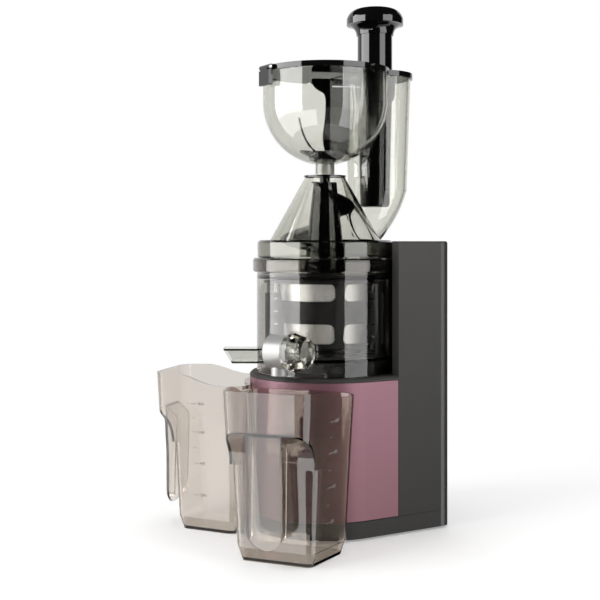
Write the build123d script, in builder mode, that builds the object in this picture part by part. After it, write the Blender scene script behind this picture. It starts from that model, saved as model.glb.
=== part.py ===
"""Cold press juicer: motor base, juicing bowl with auger and wiper train, hopper with feed chute, two jugs.

Millimetres, +Z up, the origin on the drive axis in the plane the feet stand on, the front towards -Y.
"""

import os
from math import asin, copysign, cos, degrees, pi, radians, sin, sqrt, tan

from build123d import *

# ---- clearances ----
fit = 0.05  # radial clearance of a shaft that turns in its bore
gap = 0.3  # between pieces that move past each other
seam = 0.5  # visible joint between two mouldings

# ---- base ----
base_r = 75  # half width of the base and radius of its round front
base_back = 87.5  # where the rear cover starts, behind the drive axis
cover_depth = 12.5
tower_front = 37  # front edge of the tower, behind the drive axis
tower_top = 282
deck_z = 153  # top of the ledge that the bowl stands on
deck_t = 4
base_wall = 3
niche_gap = 6  # between the bowl and the hollow in the tower's front
corner_r = 9
edge_r = 2
panel_low = 19
panel_high = 149
panel_t = 2.3
foot_h = 2.5
foot_w = 9
foot_inset = 5
plate_t = 3
screw_r = 1.75
screw_head_r = 3.4
screw_len = 14
boss_r = 4.5
boss_h = 16
boss_in = 11.4  # screw boss centres, inside the base's wall
boss_ys = (-30, 74)
vent_rings = (22, 36)
vent_pitch = 3.6
vent_len = 10

# ---- drive ----
can_r = 40
can_low = 34
can_high = 108
can_t = 2
stator_bore_r = 25.5
stator_inset = 8
rotor_r = 24.8
rotor_len = 44
motor_shaft_r = 4
fan_r = 32
fan_hub_r = 8
fan_h = 9
fan_blades = 9
fan_blade_t = 1.6
gearbox_r = 46
gearbox_flange_t = 5
gearbox_pin_ring = 42
gearbox_bite = 3  # how deep the gearbox screws go into the deck
screw_head_h = 2.2
pilot_top = 120  # top of the motor shaft, inside the gearbox
fan_gap = 2
shaft_r = 8
shaft_low = 126
hex_af = 13.6  # across flats of the drive shaft's end
hex_low = 163.5
hex_high = 192
seat_r = 30
seat_h = 6
seal_r = 13
seal_seat_r = 12
seal_h = 4

# ---- rear side and electrics ----
gland_lip = 2
board_w = 70
board_h = 45
board_z = 215
board_post = 6
board_off = 8
board_t = 1.6
board_parts = 9
gland_z = 32
gland_x = -40
gland_r = 9
cord_bore_r = 3.6
slot_w = 3
slot_len = 40
slot_pitch = 7
slot_count = 8
slots_z = 80

# ---- rocker switch, on the side at -X ----
switch_y = 66
switch_z = 200
switch_len = 36
switch_wide = 26
switch_lip = 2.5
switch_proud = 2
switch_deep = 18
switch_back = 2
rocker_dip = 2.4
axle_bite = 1.2
rocker_r = 13.5
rocker_wide = 16
rocker_pivot_in = 5  # pivot depth behind the housing's side
rocker_out = 4.6  # how far the rocker stands out of the housing's side
rocker_under = 4
axle_r = 1.5

# ---- bowl ----
bowl_r = 68
bowl_wall = 3
bowl_low = 153.3
bowl_high = 262
bowl_floor = 170  # top of the bowl's floor
floor_t = 3
hub_r = 13.5
hub_low = 160
collar_over = 4  # how far the collar stands out round the bowl
collar_low = 252
collar_high = 266
spout_angle = -120  # pulp outlet, seen from above
tap_angle = -60  # juice outlet, seen from above
duct_low = 161
duct_high = 175.5
duct_w = 26
duct_wall = 2
spout_out = 33  # length of the pulp outlet outside the bowl
duct_inner = 17
nozzle_z = 179
nozzle_r = 8.5
nozzle_bore = 6
barrel_out = 20  # tap barrel's axis, outside the bowl
barrel_r = 16
barrel_len = 18
plug_r = 10.4
mouth_r = 8
barrel_end = 2
spout_lean = 9
ledge_t = 2
ledge_w = 2.5
mouth_low = 157
knob_r = 18.3
knob_len = 21
knob_sides = 12
knob_face_r = 14

# ---- wiper train ----
gear_module = 1.5
auger_teeth = 16
idler_teeth = 14
ring_teeth = 44
gear_low = 170.3
gear_high = 176.3
gear_addendum = 0.85  # of a module
gear_dedendum = 1.25
tooth_share = 0.415  # of the pitch, at the pitch circle
idler_angle = 60  # opposite the pulp outlet
idler_pin_r = 3
ring_rim = 3.4
basket_t = 2
basket_gap = 3.5
basket_top = 243
basket_wall = 2.2
basket_posts = 3
post_w = 9
basket_angle = -92
brush_t = 1.6
brush_w = 5
brush_slots = 4
brush_low = 183
brush_high = 232
brush_gap = 0.6
web_holes = 12
web_hole_r = 5
pressure_angle = 20
tooth_sink = 0.3  # how far a tooth's foot reaches into the rim, in modules

# ---- strainer ----
strain_low = 178
strain_high = 250
strain_top_r = 50.2
strain_low_r = 44.2
strain_wall = 1.6
strain_floor = 2
window_low = (183, 202)
window_high = (224, 241)
window_count = 4
window_angle = 80
window_corner = 5
window_rib_angle = -14
mesh_t = 0.5
mesh_gap = 0.05
mesh_over = 2
floor_hole_r = 14
pulp_hole_in = 17
pulp_hole_out = 29
brim_t = 2
brim_gap = 0.8
bush_r = 9

# ---- auger ----
auger_foot = 180.3
auger_shoulder = 262
auger_top = 340
core_foot_r = 13
core_low_r = 31
core_mid_r = 20
core_top_r = 11.5
core_rise = 11
journal_r = 5
dog_t = 2.8  # flat tongue on the auger's top end, which drives the feed rotor
dog_top = 352
dog_play = 3  # degrees, beyond the lid's own turn
bush_high = 200
flight_t = 6
flight_starts = 2
flight_turn = -230
flight_rise = 6
flight_gap = 0.7
blade_low = 264
blade_t = 3.2
blade_turn = -430
blade_low_r = 47
blade_gap = 4

# ---- drum lid ----
lid_turn = 25  # degrees, from locked to free
lid_in = 0.5  # how far the lid's ring stands inside the bowl's outside
lid_high = 283
lid_wall = 2.5
throat_in = 13  # from the bowl's outside to the foot of the throat
throat_top = 346
throat_top_r = 20
disc_r = 21
disc_t = 1.4
inlet_in = 21.5  # from the bowl's outside to the middle of the inlet's foot
inlet_r = 14.5
inlet_mid = 312
inlet_mid_y = 58.5
inlet_mid_r = 25.5
inlet_top = 334
inlet_top_r = 30

# ---- hopper ----
hopper_r = 62
hopper_mid = 420  # centre of the bowl's round bottom
hopper_top = 447.5
hopper_wall = 2.5
neck_r = 9.5
neck_bore = 7
chute_y = 63
chute_top_r = 34
chute_low_r = 30
deck_top = 453
deck_over = 2  # how far the hopper's lid stands over its wall
hinge_y = 16
hinge_z = 450.4
knuckle_r = 2.6
hinge_pin_r = 1.2
knuckle_half = 38
hinge_half = 50
collar_hole = 18.7
collar_wall = 2
collar_drop = 26
latch_w = 20
latch_low = 433
latch_pin_r = 1.2
catch_out = 2.4
catch_low = 436
catch_h = 2.5
ear_at = 6.3
ear_t = 3.2
ear_root = 4
collar_ring = 5
tongue_half = 14
rotor_low = 348.2
rotor_disc_low = 362
rotor_gap = 3
rotor_fin = 9
rotor_fins = ((-150, 29), (30, 24))  # direction and reach of each fin
rotor_hub_r = 11
rotor_shaft_r = 5.2
rotor_t = 2.4

# ---- pusher ----
pusher_y = 60
pusher_low = 317
pusher_low_r = 15
pusher_top_r = 17.8
pusher_top = 506
pusher_wall = 2.2
cap_r = 29
cap_skirt = 13  # from the pusher's top down to the cap's lower edge
cap_lip = 1.2
cap_flare = 10.4  # height of the cap's flared underside
cap_side = 6
cap_h = 27

# ---- jugs: u runs out to the handle from the middle of the foot's back edge, v across ----
jug_gap = 3  # between the base and a jug that hugs it
jug_len = 64  # of the foot
jug_end_half = 36  # half width of the foot at its handle end
jug_flare = 9.5  # degrees by which each side opens towards the back
jug_draft = 3.3  # degrees by which every side leans out
jug_corner = 9
jug_tuck = 4  # how far the foot draws in below the draft
jug_tuck_z = 13
jug_wall = 2.4
jug_floor = 3.5
jug_rim_high = 153
jug_rim_low = 143.5
jug_crest = 25  # length of the rim's high part
jug_slope = 47  # length of the rim's fall
jug_over = 16.5  # mouth beyond the body, measured at the foot's level
jug_neck_z = 86
jug_throat = (74, 104.5)  # a point on the mouth's underside, as (u, z)
jug_brow_z = 119
handle_w = 34
handle_top_t = 13
handle_low_t = 8
handle_low = 18
handle_wall = 2.2
handle_mid = 70
handle_lean = 3
juice_jug_turn = -52.5
juice_jug_out = 12.3  # from the base's side to the foot's back edge
juice_jug_side = 11
pulp_jug_turn = 224
pulp_jug_out = -6
pulp_jug_side = 24

niche_r = bowl_r + niche_gap
collar_r = bowl_r + collar_over
spout_reach = bowl_r + spout_out
barrel_at = bowl_r + barrel_out
basket_r = bowl_r - bowl_wall - basket_gap
brim_r = bowl_r - bowl_wall - brim_gap
lid_r = bowl_r - lid_in
throat_low_r = bowl_r - throat_in
inlet_y = bowl_r - inlet_in

os.makedirs("parts", exist_ok=True)


def keep(builder, name):
    """Labels a finished piece and writes it under its node's name."""
    builder.part.label = name
    export_step(builder.part, f"parts/{name}.step")


def d_plan(radius, back, mode=Mode.ADD):
    """The base's plan: a round front about the drive axis, with flat sides that run back."""
    with BuildLine(Plane.XY) as outline:
        ThreePointArc((-radius, 0), (0, -radius), (radius, 0))
        Polyline((radius, 0), (radius, back), (-radius, back), (-radius, 0))
    make_face(outline.edges(), mode=mode)


def d_band(radius, inner, back):
    """A band of the base's plan, open at the back."""
    d_plan(radius, back)
    d_plan(inner, back, mode=Mode.SUBTRACT)


def turned(points, y=0, mode=Mode.ADD):
    """A ring or solid of revolution about an upright axis from its (radius, height) outline."""
    with BuildSketch(Plane.XZ.offset(-y)) as outline:
        with BuildLine():
            Polyline(*points, close=True)
        make_face()
    revolve(outline.sketch, axis=Axis((0, y, 0), (0, 0, 1)), mode=mode)


def tube(radius, bore, low, high, y=0):
    """A plain upright tube."""
    turned([(bore, low), (radius, low), (radius, high), (bore, high)], y)


def outward(angle, z=0, side=0):
    """A level plane at height z whose x runs outwards from the drive axis at this angle."""
    turn = radians(angle)
    origin = (-side * sin(turn), side * cos(turn), z)
    return Plane(origin=origin, x_dir=(cos(turn), sin(turn), 0), z_dir=(0, 0, 1))


def upright(angle, at=(0, 0), side=0):
    """An upright plane through a point, whose x runs level at this angle and whose y runs up."""
    turn = radians(angle)
    origin = (at[0] - side * sin(turn), at[1] + side * cos(turn), 0)
    return Plane(origin=origin, x_dir=(cos(turn), sin(turn), 0), z_dir=(sin(turn), -cos(turn), 0))


def block(plane, x_low, x_high, width, z_low, z_high, mode=Mode.ADD):
    """A block on an outward plane, centred across it."""
    with BuildSketch(plane.offset(z_low)) as foot:
        with Locations(((x_low + x_high) / 2, 0)):
            Rectangle(x_high - x_low, width)
    extrude(foot.sketch, amount=z_high - z_low, mode=mode)


# ---------------------------------------------------------------- base shells

panel_back = base_r - panel_t - gap  # the wall that the front panel lies on
plate_low = foot_h
plate_top = plate_low + plate_t
boss_x = panel_back - base_wall - boss_in
boss_spots = [(x, y) for x in (-boss_x, boss_x) for y in boss_ys]
with BuildPart() as motor_housing:
    with BuildSketch(Plane.XY.offset(foot_h)):
        d_plan(base_r, base_back)
    extrude(amount=deck_z - foot_h)
    chamfer(motor_housing.faces().sort_by(Axis.Z)[-1].edges().filter_by(GeomType.CIRCLE), edge_r)
    with BuildSketch(Plane.XY.offset(deck_z - edge_r)):
        with Locations((0, (tower_front + base_back) / 2)):
            Rectangle(2 * base_r, base_back - tower_front)
        Circle(niche_r, mode=Mode.SUBTRACT)
    extrude(amount=tower_top - deck_z + edge_r)
    top_edges = motor_housing.faces().sort_by(Axis.Z)[-1].edges()
    fillet(top_edges.filter_by(Axis.Y), edge_r)
    with BuildSketch(Plane.XY.offset(panel_low - seam)):
        d_band(base_r + 1, panel_back, tower_front)
    extrude(amount=panel_high - panel_low + 2 * seam, mode=Mode.SUBTRACT)
    with BuildSketch(Plane.XY.offset(foot_h)):
        d_plan(panel_back - base_wall, base_back)
    extrude(amount=deck_z - deck_t - foot_h, mode=Mode.SUBTRACT)
    with BuildSketch(Plane.XY.offset(deck_z - deck_t)):
        with Locations((0, (tower_front + base_wall + base_back) / 2)):
            Rectangle(2 * (panel_back - base_wall), base_back - tower_front - base_wall)
        Circle(niche_r + base_wall, mode=Mode.SUBTRACT)
    extrude(amount=tower_top - base_wall - deck_z + deck_t, mode=Mode.SUBTRACT)
    with BuildSketch(Plane.XY.offset(deck_z - deck_t)):
        Circle(seal_r + gap)
    extrude(amount=deck_t, mode=Mode.SUBTRACT)
    with BuildSketch(Plane.XY.offset(deck_z - deck_t)):
        with PolarLocations(gearbox_pin_ring, 4, start_angle=45):
            Circle(screw_r)
    extrude(amount=gearbox_bite, mode=Mode.SUBTRACT)
    with BuildSketch(Plane.YZ.offset(-base_r)):
        with Locations((switch_y, switch_z)):
            Rectangle(switch_wide - 2 * switch_lip, switch_len - 2 * switch_lip)
    extrude(amount=base_r - panel_back + base_wall, mode=Mode.SUBTRACT)
    with BuildSketch(Plane.XY.offset(plate_top)):
        for x, y in boss_spots:
            with Locations((x + copysign(boss_r, x), y)):
                Rectangle(4 * boss_r, boss_r)
        with Locations(*boss_spots):
            Circle(boss_r)
        d_plan(panel_back - base_wall / 2, base_back, mode=Mode.INTERSECT)
        with Locations(*boss_spots):
            Circle(screw_r, mode=Mode.SUBTRACT)
    extrude(amount=boss_h)
keep(motor_housing, "motor_housing")

with BuildPart() as front_panel:
    with BuildSketch(Plane.XY.offset(panel_low)):
        d_band(base_r, base_r - panel_t, tower_front - seam)
    extrude(amount=panel_high - panel_low)
keep(front_panel, "front_panel")

with BuildPart() as rear_cover:
    with BuildSketch(Plane.XY.offset(foot_h)):
        with Locations((0, base_back + cover_depth / 2)):
            Rectangle(2 * base_r, cover_depth)
    extrude(amount=tower_top - foot_h)
    rear_uprights = rear_cover.edges().filter_by(Axis.Z).group_by(Axis.Y)[-1]
    fillet(rear_uprights, corner_r)
    rear_rim = rear_cover.faces().sort_by(Axis.Z)[-1].edges()
    fillet(rear_rim.filter_by(lambda e: e.center().Y > base_back + 0.1), edge_r)
    with BuildSketch(Plane.XY.offset(foot_h + base_wall)) as cavity:
        with Locations((0, base_back + (cover_depth - base_wall) / 2)):
            Rectangle(2 * base_r - 2 * base_wall, cover_depth - base_wall)
        fillet(cavity.vertices().group_by(Axis.Y)[-1], corner_r - base_wall)
    extrude(amount=tower_top - foot_h - 2 * base_wall, mode=Mode.SUBTRACT)
    with BuildSketch(Plane.XZ.offset(-base_back)):
        with Locations((0, slots_z)):
            with GridLocations(slot_pitch, 0, slot_count, 1):
                SlotOverall(slot_len, slot_w, rotation=90)
        with Locations((gland_x, gland_z)):
            Circle(gland_r)
    extrude(amount=-cover_depth, mode=Mode.SUBTRACT)
keep(rear_cover, "rear_cover")

with BuildPart() as bottom_plate:
    with BuildSketch(Plane.XY.offset(plate_low)):
        d_plan(panel_back - base_wall - gap, base_back - gap)
    extrude(amount=plate_t)
    with Locations(*[(x, y, plate_low) for x, y in boss_spots]):
        Hole(screw_r + gap / 2, 2 * plate_t)
    with BuildSketch(Plane.XY.offset(plate_low)):
        with Locations(*boss_spots):
            Circle(screw_head_r + gap)
    extrude(amount=plate_t / 2, mode=Mode.SUBTRACT)
    with BuildSketch(Plane.XY.offset(plate_low)):
        for radius in vent_rings:
            with PolarLocations(radius, int(radius / vent_pitch), rotate=True):
                SlotOverall(vent_len, slot_w, rotation=90)
    extrude(amount=plate_t, mode=Mode.SUBTRACT)
keep(bottom_plate, "bottom_plate")

foot_out = panel_back - base_wall - foot_inset
with BuildPart() as foot_ring:
    with BuildSketch(Plane.XY):
        d_plan(foot_out, base_back - foot_inset)
        d_plan(foot_out - foot_w, base_back - foot_inset - foot_w, mode=Mode.SUBTRACT)
    extrude(amount=foot_h)
keep(foot_ring, "foot_ring")

with BuildPart() as housing_screws:
    for x, y in boss_spots:
        with Locations((x, y, plate_low + plate_t / 2)):
            Cylinder(screw_r - gap / 4, screw_len, align=(Align.CENTER, Align.CENTER, Align.MIN))
        with Locations((x, y, plate_low + plate_t / 2)):
            Cylinder(
                screw_head_r, plate_t / 2, align=(Align.CENTER, Align.CENTER, Align.MAX)
            )
keep(housing_screws, "housing_screws")

# ---------------------------------------------------------------- drive

deck_under = deck_z - deck_t
with BuildPart() as gearbox_case:
    bore_r = shaft_r + fit
    pilot_r = motor_shaft_r + fit
    turned(
        [
            (pilot_r, can_high),
            (can_r - can_t, can_high),
            (can_r - can_t, deck_under - gearbox_flange_t),
            (gearbox_r, deck_under - gearbox_flange_t),
            (gearbox_r, deck_under),
            (bore_r, deck_under),
            (bore_r, shaft_low - gap),
            (0, shaft_low - gap),
            (0, pilot_top + gap),
            (pilot_r, pilot_top + gap),
        ]
    )
    with BuildSketch(Plane.XY.offset(deck_under - gearbox_flange_t)):
        with PolarLocations(gearbox_pin_ring, 4, start_angle=45):
            Circle(screw_r)
    extrude(amount=gearbox_flange_t, mode=Mode.SUBTRACT)
keep(gearbox_case, "gearbox_case")

with BuildPart() as gearbox_screws:
    for radius, length in ((screw_r, gearbox_flange_t + gearbox_bite), (screw_head_r, -screw_head_h)):
        with BuildSketch(Plane.XY.offset(deck_under - gearbox_flange_t)):
            with PolarLocations(gearbox_pin_ring, 4, start_angle=45):
                Circle(radius)
        extrude(amount=length)
keep(gearbox_screws, "gearbox_screws")

with BuildPart() as motor_can:
    turned(
        [
            (pilot_r, can_low),
            (can_r, can_low),
            (can_r, can_high),
            (pilot_r, can_high),
            (pilot_r, can_high - can_t),
            (can_r - can_t, can_high - can_t),
            (can_r - can_t, can_low + can_t),
            (pilot_r, can_low + can_t),
        ]
    )
keep(motor_can, "motor_can")

with BuildPart() as stator:
    tube(can_r - can_t, stator_bore_r, can_low + stator_inset, can_high - stator_inset)
keep(stator, "stator")

can_mid = (can_low + can_high) / 2
with BuildPart() as rotor_core:
    tube(rotor_r, motor_shaft_r, can_mid - rotor_len / 2, can_mid + rotor_len / 2)
keep(rotor_core, "rotor_core")

fan_high = can_low - fan_gap
with BuildPart() as motor_shaft:
    with BuildSketch(Plane.XY.offset(fan_high - fan_h)):
        Circle(motor_shaft_r)
    extrude(amount=pilot_top - fan_high + fan_h)
keep(motor_shaft, "motor_shaft")

blade_root = (fan_hub_r + motor_shaft_r) / 2
blade_tip = fan_r - fan_blade_t
with BuildPart() as cooling_fan:
    tube(fan_hub_r, motor_shaft_r, fan_high - fan_h, fan_high)
    tube(fan_r, motor_shaft_r, fan_high - fan_blade_t, fan_high)
    with BuildSketch(Plane.XY.offset(fan_high - fan_h)):
        with PolarLocations((blade_tip + blade_root) / 2, fan_blades):
            Rectangle(blade_tip - blade_root, fan_blade_t)
    extrude(amount=fan_h)
keep(cooling_fan, "cooling_fan")

with BuildPart() as drive_shaft:
    with BuildSketch(Plane.XY.offset(shaft_low)):
        Circle(shaft_r)
    extrude(amount=hex_low - shaft_low)
    with BuildSketch(Plane.XY.offset(hex_low)):
        RegularPolygon(hex_af / 2, 6, major_radius=False)
    extrude(amount=hex_high - hex_low)
    chamfer(drive_shaft.faces().sort_by(Axis.Z)[-1].edges(), 1)
keep(drive_shaft, "drive_shaft")

with BuildPart() as bowl_seat:
    turned(
        [
            (seal_r, deck_z - deck_t),
            (seal_r, deck_z),
            (seat_r, deck_z),
            (seat_r - edge_r, deck_z + seat_h),
            (seal_seat_r, deck_z + seat_h),
            (seal_seat_r, deck_z + seat_h - seal_h),
            (shaft_r + gap, deck_z + seat_h - seal_h),
            (shaft_r + gap, deck_z - deck_t),
        ]
    )
keep(bowl_seat, "bowl_seat")

with BuildPart() as shaft_seal:
    tube(seal_seat_r, shaft_r + fit, deck_z + seat_h - seal_h, deck_z + seat_h)
keep(shaft_seal, "shaft_seal")

# ---------------------------------------------------------------- electrical pieces

inner_wall = base_back + cover_depth - base_wall
with BuildPart() as control_board:
    with BuildSketch(Plane.XZ.offset(-inner_wall)):
        with Locations((0, board_z)):
            with GridLocations(board_w - board_post, board_h - board_post, 2, 2):
                Circle(board_post / 2)
    extrude(amount=board_off)
    with BuildSketch(Plane.XZ.offset(-inner_wall + board_off)):
        with Locations((0, board_z)):
            Rectangle(board_w, board_h)
    extrude(amount=board_t)
    with BuildSketch(Plane.XZ.offset(-inner_wall + board_off + board_t)):
        with Locations((-board_w / 4, board_z), (board_w / 8, board_z)):
            Circle(board_h / 6)
        with Locations((board_w / 3, board_z)):
            Rectangle(board_w / 6, board_h / 2)
    extrude(amount=board_parts)
keep(control_board, "control_board")

side = -base_r
switch_hole = (switch_wide - 2 * switch_lip, switch_len - 2 * switch_lip)
pivot_x = side + rocker_pivot_in
side_plane = Plane.YZ.offset(side - switch_proud)
across_switch = Plane.XZ.offset(-switch_y)
with BuildPart() as switch_frame:
    with BuildSketch(side_plane):
        with Locations((switch_y, switch_z)):
            RectangleRounded(switch_wide, switch_len, switch_lip)
    extrude(amount=switch_proud)
    with BuildSketch(side_plane):
        with Locations((switch_y, switch_z)):
            Rectangle(switch_hole[0] - gap, switch_hole[1] - gap)
    extrude(amount=switch_proud + switch_deep)
    with BuildSketch(side_plane):
        with Locations((switch_y, switch_z)):
            Rectangle(rocker_wide + 2 * gap, 2 * (rocker_r + gap))
    extrude(amount=switch_proud + switch_deep - switch_back, mode=Mode.SUBTRACT)
    with BuildSketch(across_switch):
        with Locations((pivot_x, switch_z)):
            Circle(axle_r + fit)
    extrude(amount=switch_hole[0], both=True, mode=Mode.SUBTRACT)
keep(switch_frame, "switch_frame")

with BuildPart() as switch_rocker:
    with BuildSketch(across_switch):
        with Locations((pivot_x, switch_z)):
            Circle(rocker_r)
        with BuildLine():
            Polyline(
                (pivot_x + rocker_under, switch_z - rocker_r),
                (pivot_x + rocker_under, switch_z + rocker_r),
                (side - rocker_out, switch_z + rocker_r),
                (side - rocker_out + rocker_dip, switch_z),
                (side - rocker_out, switch_z - rocker_r),
                close=True,
            )
        make_face(mode=Mode.INTERSECT)
    extrude(amount=rocker_wide / 2, both=True)
    with BuildSketch(across_switch):
        with Locations((pivot_x, switch_z)):
            Circle(axle_r)
    extrude(amount=rocker_wide / 2 + gap + axle_bite, both=True)
keep(switch_rocker, "switch_rocker")

with BuildPart() as cord_gland:
    with BuildSketch(Plane.XZ.offset(-inner_wall + gland_lip)):
        with Locations((gland_x, gland_z)):
            Circle(gland_r + gland_lip)
    extrude(amount=-gland_lip)
    with BuildSketch(Plane.XZ.offset(-inner_wall)):
        with Locations((gland_x, gland_z)):
            Circle(gland_r)
    extrude(amount=-base_wall)
    with BuildSketch(Plane.XZ.offset(-inner_wall - base_wall)):
        with Locations((gland_x, gland_z)):
            Circle(gland_r + gland_lip)
    extrude(amount=-gland_lip)
    fillet(cord_gland.edges().group_by(Axis.Y)[-1], gland_lip / 2)
    with BuildSketch(Plane.XZ.offset(-inner_wall + gland_lip)):
        with Locations((gland_x, gland_z)):
            Circle(cord_bore_r)
    extrude(amount=-base_wall - 2 * gland_lip, mode=Mode.SUBTRACT)
keep(cord_gland, "cord_gland")

# ---------------------------------------------------------------- juicing bowl

bowl_bore = bowl_r - bowl_wall
floor_low = bowl_floor - floor_t
hub_bore = bush_r + fit
ledge_top = strain_high - gap
spout = outward(spout_angle)
duct_in = duct_w - 2 * duct_wall
idler_ring = gear_module * (auger_teeth + idler_teeth) / 2
idler_spot = (idler_ring * cos(radians(idler_angle)), idler_ring * sin(radians(idler_angle)))
port = upright(tap_angle + 90)
with BuildPart() as drum_bowl:
    turned(
        [
            (hub_bore, hub_low),
            (hub_r, hub_low),
            (hub_r, floor_low),
            (bowl_bore, floor_low),
            (bowl_bore, bowl_low),
            (bowl_r, bowl_low),
            (bowl_r, bowl_high),
            (bowl_bore, bowl_high),
            (bowl_bore, ledge_top),
            (bowl_bore - ledge_w, ledge_top),
            (bowl_bore - ledge_w, ledge_top - ledge_t),
            (bowl_bore, ledge_top - ledge_t - ledge_w),
            (bowl_bore, bowl_floor),
            (hub_bore, bowl_floor),
        ]
    )
    block(spout, duct_inner, bowl_r - duct_wall, duct_w, duct_low, bowl_floor - floor_t / 2)
    block(
        spout,
        duct_inner + duct_wall,
        bowl_r + duct_wall,
        duct_in,
        duct_low + duct_wall,
        duct_high - duct_wall,
        mode=Mode.SUBTRACT,
    )
    with BuildSketch(port):
        with Locations((0, nozzle_z)):
            Circle(nozzle_bore)
    extrude(amount=bowl_r + bowl_wall, mode=Mode.SUBTRACT)
    with Locations((*idler_spot, floor_low)):
        Cylinder(idler_pin_r, 2 * floor_t, mode=Mode.SUBTRACT)
keep(drum_bowl, "drum_bowl")

with BuildPart() as drum_collar:
    turned(
        [
            (bowl_r, collar_low),
            (collar_r - edge_r / 2, collar_low),
            (collar_r, collar_low + edge_r / 2),
            (collar_r, collar_high - edge_r),
            (collar_r - edge_r, collar_high - gap),
            (bowl_bore + gap, collar_high - gap),
            (bowl_bore + gap, bowl_high),
            (bowl_r, bowl_high),
        ]
    )
keep(drum_collar, "drum_collar")

with BuildPart() as bowl_seal:
    tube(hub_bore, shaft_r + fit, hub_low, hub_low + seal_h)
keep(bowl_seal, "bowl_seal")

with BuildPart() as pulp_spout:
    with BuildSketch(upright(spout_angle)):
        with BuildLine():
            Polyline(
                (bowl_r - duct_w / 2, duct_low),
                (spout_reach - spout_lean, duct_low),
                (spout_reach, duct_high),
                (bowl_r - duct_w / 2, duct_high),
                close=True,
            )
        make_face()
    extrude(amount=duct_w / 2, both=True)
    spout_edges = pulp_spout.edges().filter_by(lambda e: abs(e.tangent_at(0).Z) < 0.1)
    fillet(
        spout_edges.filter_by(lambda e: abs(e.tangent_at(0).dot(spout.x_dir)) > 0.9), duct_wall
    )
    block(
        spout,
        0,
        spout_reach + duct_wall,
        duct_in,
        duct_low + duct_wall,
        duct_high - duct_wall,
        mode=Mode.SUBTRACT,
    )
    with BuildSketch(Plane.XY.offset(duct_low)):
        Circle(bowl_r)
    extrude(amount=duct_high - duct_low, mode=Mode.SUBTRACT)
keep(pulp_spout, "pulp_spout")

# the tap: a barrel across the end of the juice nozzle, with a turning plug and its knob
across_tap = upright(tap_angle)  # its normal points away from the knob
plug_low = barrel_len / 2 - barrel_end
with BuildPart() as juice_nozzle:
    with BuildSketch(port):
        with Locations((0, nozzle_z)):
            Circle(nozzle_r)
    extrude(amount=barrel_at)
    with BuildSketch(across_tap):
        with Locations((barrel_at, nozzle_z)):
            Circle(barrel_r)
    extrude(amount=barrel_len / 2, both=True)
    with BuildSketch(outward(tap_angle, mouth_low)):
        with Locations((barrel_at, 0)):
            Circle(mouth_r)
    extrude(amount=nozzle_z - mouth_low)
    with BuildSketch(across_tap.offset(plug_low)):
        with Locations((barrel_at, nozzle_z)):
            Circle(plug_r + fit)
    extrude(amount=-plug_low - barrel_len, mode=Mode.SUBTRACT)
    with BuildSketch(port):
        with Locations((0, nozzle_z)):
            Circle(nozzle_bore)
    extrude(amount=barrel_at, mode=Mode.SUBTRACT)
    with BuildSketch(outward(tap_angle, mouth_low)):
        with Locations((barrel_at, 0)):
            Circle(nozzle_bore)
    extrude(amount=nozzle_z - mouth_low, mode=Mode.SUBTRACT)
    with BuildSketch(Plane.XY.offset(mouth_low)):
        Circle(bowl_r)
    extrude(amount=2 * barrel_r + mouth_r, mode=Mode.SUBTRACT)
keep(juice_nozzle, "juice_nozzle")

with BuildPart() as tap_plug:
    with BuildSketch(across_tap.offset(plug_low - gap)):
        with Locations((barrel_at, nozzle_z)):
            Circle(plug_r)
    extrude(amount=-plug_low + gap - barrel_len / 2)
    with BuildSketch(across_tap.offset(-barrel_len / 2)):
        with Locations((barrel_at, nozzle_z)):
            Circle(plug_r / 2)
    extrude(amount=-knob_len / 2)
    with BuildSketch(outward(tap_angle, nozzle_z - plug_r)):
        with Locations((barrel_at, 0)):
            Circle(nozzle_bore - fit)
    extrude(amount=plug_r, mode=Mode.SUBTRACT)
    with BuildSketch(port.offset(barrel_at)):
        with Locations((0, nozzle_z)):
            Circle(nozzle_bore - fit)
    extrude(amount=plug_r, mode=Mode.SUBTRACT)
keep(tap_plug, "tap_plug")

with BuildPart() as tap_knob:
    for start, low_r, high_r, length in (
        (0, knob_r - edge_r, knob_r, knob_len / 3),
        (knob_len / 3, knob_r, knob_face_r, 2 * knob_len / 3),
    ):
        plane = across_tap.offset(-barrel_len / 2 - gap - start)
        with BuildSketch(plane):
            with Locations((barrel_at, nozzle_z)):
                RegularPolygon(low_r, knob_sides)
        with BuildSketch(plane.offset(-length)):
            with Locations((barrel_at, nozzle_z)):
                RegularPolygon(high_r, knob_sides)
        loft()
    with BuildSketch(across_tap.offset(-barrel_len / 2)):
        with Locations((barrel_at, nozzle_z)):
            Circle(plug_r / 2)
    extrude(amount=-knob_len / 2, mode=Mode.SUBTRACT)
keep(tap_knob, "tap_knob")

# ---------------------------------------------------------------- wiper train


def teeth(count, way, start_angle):
    """Straight-flanked teeth on their pitch circle: way is 1 outwards and -1 inwards, as on a ring gear."""
    half = pi * gear_module * tooth_share / 2
    lean = tan(radians(pressure_angle))
    tip = gear_addendum * gear_module
    foot = (gear_dedendum + tooth_sink) * gear_module
    with BuildSketch(Plane.XY) as tooth:
        with BuildLine():
            Polyline(
                (way * tip, half - lean * tip),
                (-way * foot, half + lean * foot),
                (-way * foot, -half - lean * foot),
                (way * tip, -half + lean * tip),
                close=True,
            )
        make_face()
    with PolarLocations(gear_module * count / 2, count, start_angle=start_angle):
        add(tooth.sketch)


def gear(count, bore, start_angle):
    """A spur gear about the sketch's origin."""
    Circle(gear_module * (count / 2 - gear_dedendum))
    teeth(count, 1, start_angle)
    Circle(bore, mode=Mode.SUBTRACT)


def strainer_radius(z):
    """The strainer's outer radius at a height."""
    share = (z - strain_low) / (strain_high - strain_low)
    return strain_low_r + share * (strain_top_r - strain_low_r)


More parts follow.
